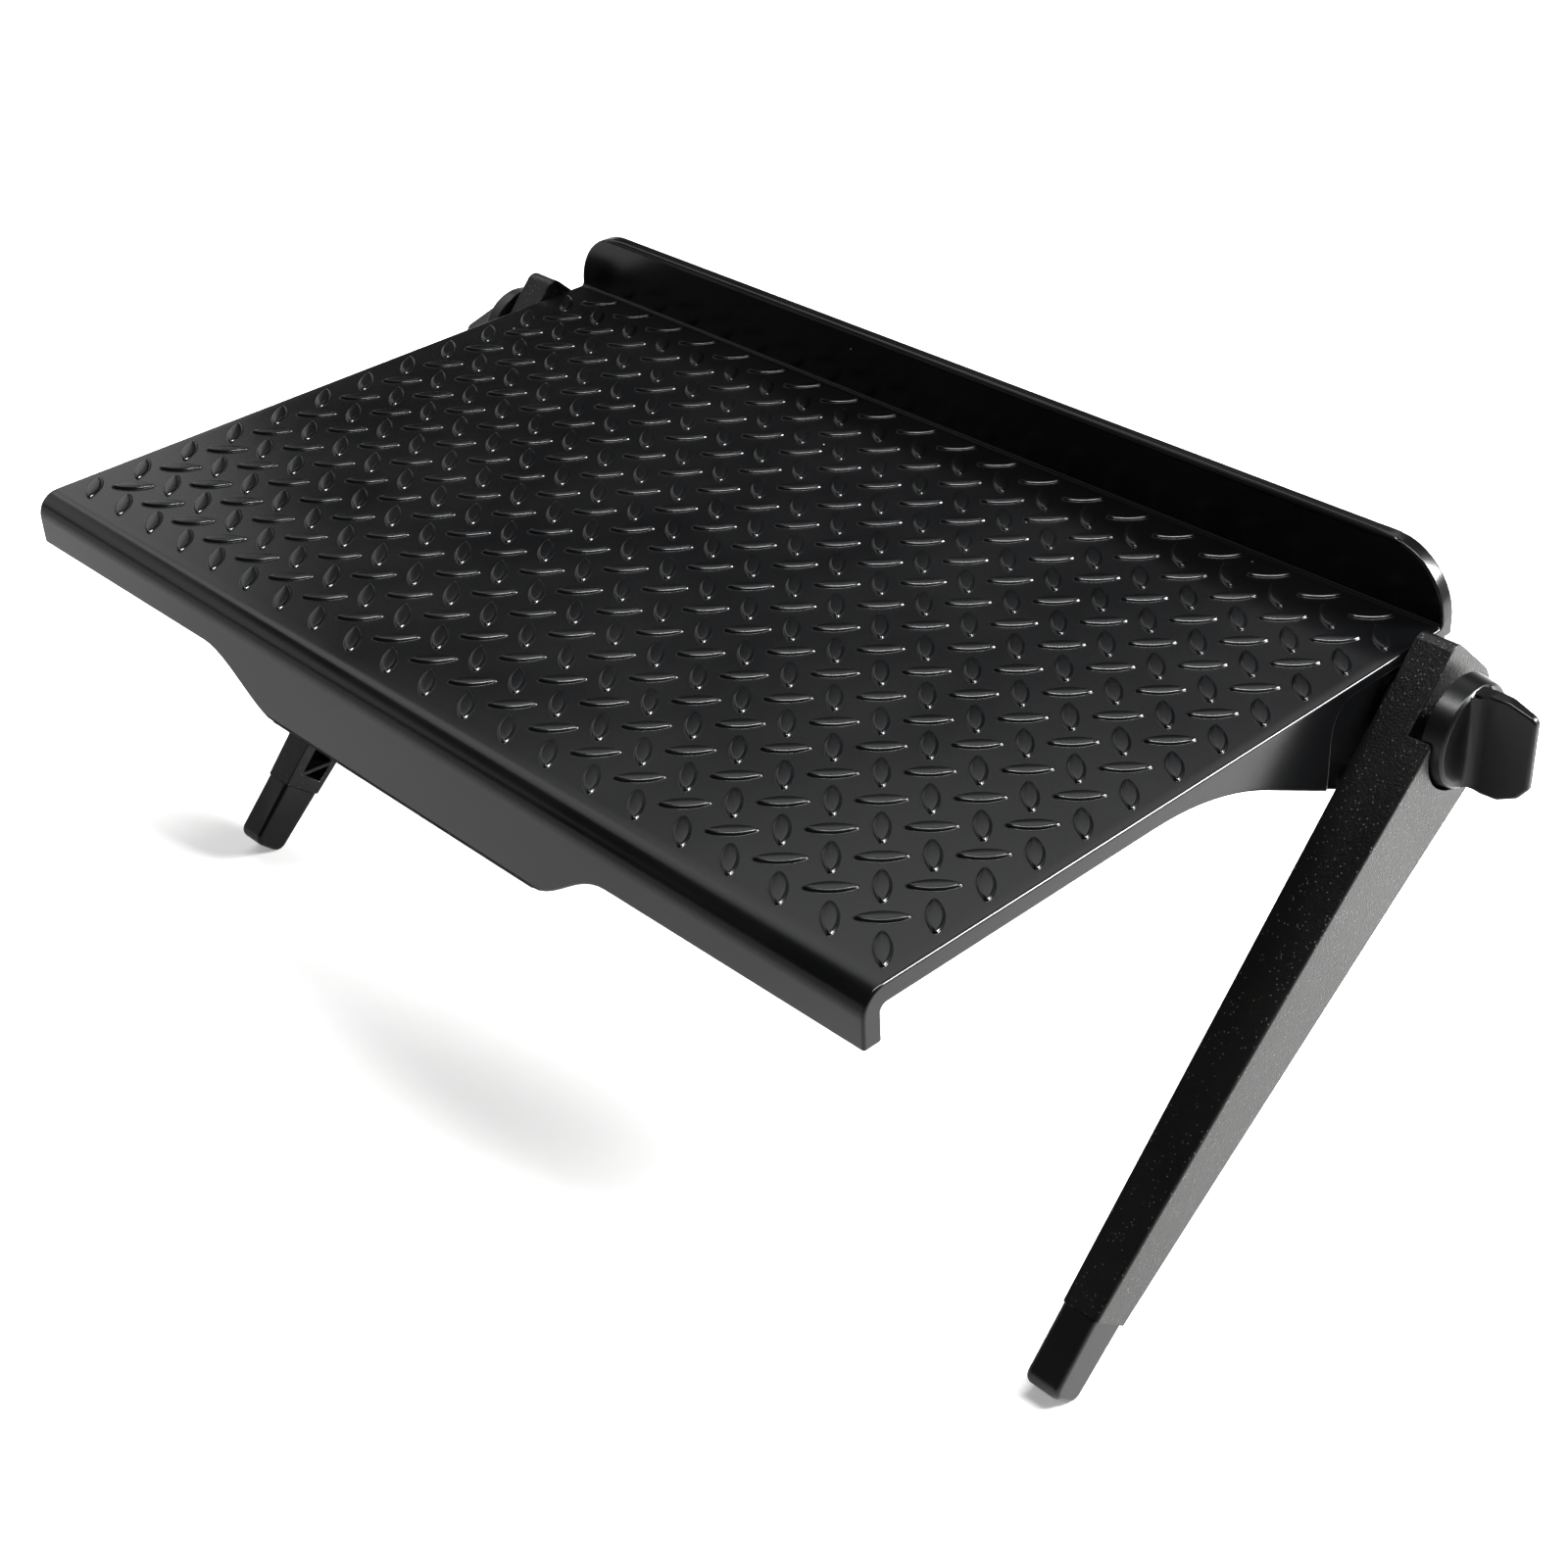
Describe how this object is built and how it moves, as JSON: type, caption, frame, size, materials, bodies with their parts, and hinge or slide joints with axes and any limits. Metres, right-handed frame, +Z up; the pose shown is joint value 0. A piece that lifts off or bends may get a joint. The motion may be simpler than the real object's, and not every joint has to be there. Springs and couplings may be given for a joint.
{
  "type": "screen-top shelf",
  "caption": "Tread-plate shelf that hooks over a screen's top edge by a front lip and braces on its back with folding legs clamped by thumb knobs.",
  "frame": {"origin": "centre of the front deck pad's underside, where the shelf sits on the top edge of a screen", "axes": "+X along the shelf's width to the user's right, +Y from the lip to the rear fence, +Z up"},
  "size_m": [0.3656, 0.187, 0.1547],
  "materials": {
    "black_plastic": "satin black moulding with a fine skin",
    "grained_plastic": "spark-eroded grain",
    "knob_plastic": "satin",
    "rubber": "smooth moulded rubber",
    "foam_rubber": "matte cellular",
    "nylon": "black nylon",
    "zinc_steel": "zinc plated",
    "brass": "knurled brass"
  },
  "bodies": {
    "shelf": {"shelf": "black_plastic", "deck_pad_front": "foam_rubber", "deck_pad_rear": "foam_rubber", "lip_pad": "foam_rubber", "pivot_bolt_left": "zinc_steel", "pivot_bolt_right": "zinc_steel", "friction_ring_left": "nylon", "friction_ring_right": "nylon"},
    "leg_left": {"leg_left": "grained_plastic", "foot_cap_left": "rubber"},
    "leg_right": {"leg_right": "grained_plastic", "foot_cap_right": "rubber"},
    "clamp_left": {"steel_washer_left": "zinc_steel"},
    "clamp_right": {"steel_washer_right": "zinc_steel"},
    "knob_left": {"knob_left": "knob_plastic", "thread_insert_left": "brass"},
    "knob_right": {"knob_right": "knob_plastic", "thread_insert_right": "brass"}
  },
  "joints": [
    {"name": "leg_fold_left", "type": "hinge", "parent": "shelf", "child": "leg_left", "pos_m": [-0.1552, 0.1504, -0.0086], "axis": [1, 0, 0], "range_deg": [-46, 90]},
    {"name": "leg_fold_right", "type": "hinge", "parent": "shelf", "child": "leg_right", "pos_m": [0.156, 0.1504, -0.0086], "axis": [1, 0, 0], "range_deg": [-46, 90]},
    {"name": "clamp_travel_left", "type": "slide", "parent": "shelf", "child": "clamp_left", "axis": [-1, 0, 0], "range_m": [0, 0.0037]},
    {"name": "clamp_travel_right", "type": "slide", "parent": "shelf", "child": "clamp_right", "axis": [1, 0, 0], "range_m": [-0.0013, 0.0025]},
    {"name": "knob_turn_left", "type": "hinge", "parent": "clamp_left", "child": "knob_left", "pos_m": [-0.1617, 0.1504, -0.0086], "axis": [-1, 0, 0], "range_deg": [0, 1620]},
    {"name": "knob_turn_right", "type": "hinge", "parent": "clamp_right", "child": "knob_right", "pos_m": [0.1637, 0.1504, -0.0086], "axis": [1, 0, 0], "range_deg": [-540, 1080]}
  ],
  "couplings": [
    {"joint": "clamp_travel_left", "follows": "knob_turn_left", "m_per_rad": 0.00012732},
    {"joint": "clamp_travel_right", "follows": "knob_turn_right", "m_per_rad": 0.00012732}
  ]
}
